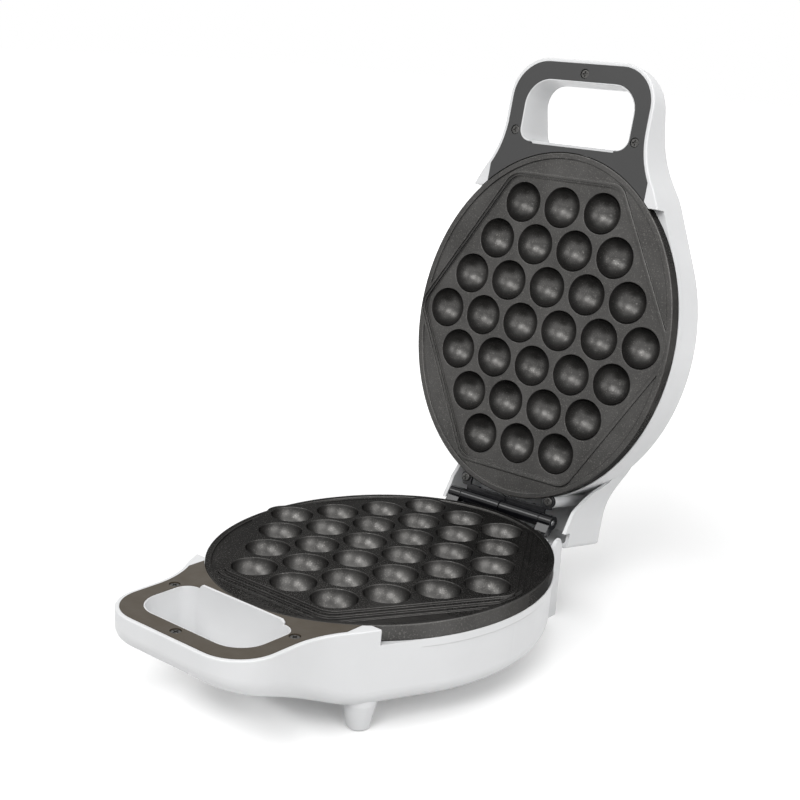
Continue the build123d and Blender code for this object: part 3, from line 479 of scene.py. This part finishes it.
class PAN_OT_finish_heaters(bpy.types.Operator):
    """Finish the heater elements, their clips and the heat shields"""

    bl_idname = "pan.finish_heaters"
    bl_label = "Finish Heaters"

    def execute(self, context):
        metal = context.scene.pan_metal
        sheath = drawn_metal(
            "heater_steel", metal.sheath, 0.42, grain=0.0012, stretch=(1.0, 1.0, 0.4), tint=metal.sheath_tint
        )
        dress(sheath, "lower_heater_element", "upper_heater_element")
        clip = drawn_metal(
            "steel_clips", metal.steel, 0.34, grain=0.0010, stretch=(0.1, 1.0, 1.0), tint=scaled(metal.steel, 0.85)
        )
        dress(clip, "lower_heater_clips", "upper_heater_clips")
        sheet = drawn_metal(
            "shield_aluminium",
            metal.shield,
            0.26,
            grain=0.0010,
            stretch=(1.0, 0.06, 1.0),
            tint=scaled(metal.shield, 0.9),
        )
        dress(sheet, "lower_heat_shield", "upper_heat_shield")
        return {"FINISHED"}


class PAN_OT_finish_electrics(bpy.types.Operator):
    """Finish the thermostat, the thermal fuse, the terminal block and the cord's gland"""

    bl_idname = "pan.finish_electrics"
    bl_label = "Finish Electrics"

    def execute(self, context):
        plastic, metal = context.scene.pan_plastic, context.scene.pan_metal
        dress(glazed_ceramic(), "thermostat")
        can = drawn_metal(
            "steel_can", metal.steel, 0.30, grain=0.0008, stretch=(1.0, 0.1, 1.0), tint=scaled(metal.steel, 0.9)
        )
        dress(can, "thermal_fuse")
        block = moulded_plastic("terminal_plastic", plastic.terminal, 0.48, grain_size=0.0005, grain_depth=0.00002)
        dress(block, "terminal_block")
        dress(soft_rubber(), "cord_gland")
        return {"FINISHED"}


class PAN_OT_finish_indicator(bpy.types.Operator):
    """Finish the indicator's lens and the lamp behind it"""

    bl_idname = "pan.finish_indicator"
    bl_label = "Finish Indicator"

    def execute(self, context):
        dress(milky_lens(context.scene.pan_plastic), "indicator_lens")
        dress(lamp_glass(), "indicator_lamp")
        return {"FINISHED"}


# Studio


def softbox(name, place, width, height, power):
    """A large rectangular lamp that faces the object."""
    bpy.ops.object.light_add(type="AREA", location=place)
    lamp = bpy.context.object
    lamp.name = name
    lamp.data.shape = "RECTANGLE"
    lamp.data.size = width
    lamp.data.size_y = height
    lamp.data.energy = power
    lamp.rotation_euler = (Vector(LAMP_TARGET) - Vector(place)).to_track_quat("-Z", "Y").to_euler()


def seen_directly(material):
    """1 for what the camera, a reflection or a clear piece shows, and 0 for the light that falls on things."""
    path = add_node(material, "ShaderNodeLightPath")
    camera_or_glossy = combine(material, "MAXIMUM", path.outputs["Is Camera Ray"], path.outputs["Is Glossy Ray"])
    return combine(material, "MAXIMUM", camera_or_glossy, path.outputs["Is Transmission Ray"])


def pale_floor(settings):
    """A pale matte floor that shows nearly white but keeps the shadow. Far from the lamps, a glow takes over."""
    material, shader = start_material("studio_floor", settings.floor, 0.9)
    shader.inputs["Specular IOR Level"].default_value = 0.0
    seen = seen_directly(material)
    link(material, blend_colours(material, seen, settings.floor_bounce, settings.floor), shader.inputs["Base Color"])
    place = add_node(material, "ShaderNodeTexCoord")
    distance = material.node_tree.nodes.new("ShaderNodeVectorMath")
    distance.operation = "LENGTH"
    link(material, place.outputs["Object"], distance.inputs[0])
    reach = ramp(
        material,
        distance.outputs["Value"],
        settings.glow_start,
        settings.glow_end,
        settings.near_glow,
        settings.far_glow,
    )
    glow = add_node(material, "ShaderNodeEmission", Color=(1.0, 1.0, 1.0, 1.0))
    link(material, combine(material, "MULTIPLY", seen, reach), glow.inputs["Strength"])
    both = add_node(material, "ShaderNodeAddShader")
    link(material, shader.outputs[0], both.inputs[0])
    link(material, glow.outputs[0], both.inputs[1])
    link(material, both.outputs[0], material.node_tree.nodes["Material Output"].inputs["Surface"])
    return material


class PAN_OT_set_stage(bpy.types.Operator):
    """Set up the floor, the studio's light and the camera"""

    bl_idname = "pan.set_stage"
    bl_label = "Set Stage"

    def execute(self, context):
        studio = context.scene.pan_studio
        self.lay_floor(studio)
        self.light_studio(context.scene, studio)
        self.place_camera(context.scene, studio)
        return {"FINISHED"}

    def lay_floor(self, studio):
        """A floor that reaches far past the object on every side."""
        bpy.ops.object.select_all(action="DESELECT")
        bpy.ops.mesh.primitive_plane_add(size=FLOOR_SIZE, location=(0.0, 0.0, FRAME_LOW.z))
        floor = bpy.context.object
        floor.name = "studio_floor"
        floor.data.materials.append(pale_floor(studio))

    def light_studio(self, scene, studio):
        """An even pale room, a key lamp at the front, lamps at the left and right and a large one overhead."""
        world = bpy.data.worlds.new("studio")
        world.use_nodes = True
        background = world.node_tree.nodes["Background"]
        background.inputs["Color"].default_value = (1.0, 1.0, 1.0, 1.0)
        strength = ramp(world, seen_directly(world), 0.0, 1.0, studio.ambient, 1.0)
        link(world, strength, background.inputs["Strength"])
        scene.world = world
        for name, place, width, height in LAMPS:
            softbox(name, place, width, height, getattr(studio, f"{name}_power"))

    def place_camera(self, scene, studio):
        """The camera, turned by its azimuth, elevation and roll."""
        bpy.ops.object.camera_add(location=studio.camera_place)
        camera = bpy.context.object
        camera.data.sensor_width = SENSOR_WIDTH
        camera.data.lens = studio.focal_length
        turn = (
            Matrix.Rotation(studio.azimuth, 4, "Z")
            @ Matrix.Rotation(radians(90.0) - studio.elevation, 4, "X")
            @ Matrix.Rotation(studio.roll, 4, "Z")
        )
        camera.rotation_euler = turn.to_euler()
        scene.camera = camera
        scene.view_settings.view_transform = "Standard"


STEPS = (
    PAN_OT_finish_housings,
    PAN_OT_finish_handle_covers,
    PAN_OT_finish_plates,
    PAN_OT_finish_hinge,
    PAN_OT_finish_screws,
    PAN_OT_finish_heaters,
    PAN_OT_finish_electrics,
    PAN_OT_finish_indicator,
    PAN_OT_set_stage,
)


class PAN_PT_steps(bpy.types.Panel):
    """The steps that finish the pan, and their settings"""

    bl_label = "Egg Waffle Pan"
    bl_idname = "PAN_PT_steps"
    bl_space_type = "VIEW_3D"
    bl_region_type = "UI"
    bl_category = "Waffle Pan"

    def draw(self, context):
        for step in STEPS:
            self.layout.operator(step.bl_idname)
        for group in (context.scene.pan_plastic, context.scene.pan_metal, context.scene.pan_studio):
            box = self.layout.box()
            for setting in group.bl_rna.properties:
                if setting.identifier not in ("rna_type", "name"):
                    box.prop(group, setting.identifier)


SETTINGS = {"pan_plastic": PanPlasticSettings, "pan_metal": PanMetalSettings, "pan_studio": PanStudioSettings}


def register():
    """Registers the settings, the operators and the panel."""
    for group in SETTINGS.values():
        bpy.utils.register_class(group)
    for name, group in SETTINGS.items():
        setattr(bpy.types.Scene, name, PointerProperty(type=group))
    for step in (*STEPS, PAN_PT_steps):
        bpy.utils.register_class(step)


def unregister():
    """Takes back what register added."""
    for step in (PAN_PT_steps, *reversed(STEPS)):
        bpy.utils.unregister_class(step)
    for name in SETTINGS:
        delattr(bpy.types.Scene, name)
    for group in reversed(tuple(SETTINGS.values())):
        bpy.utils.unregister_class(group)


def main():
    """Runs every step in order."""
    register()
    for step in STEPS:
        group, name = step.bl_idname.split(".")
        getattr(getattr(bpy.ops, group), name)()


if __name__ == "__main__":
    main()
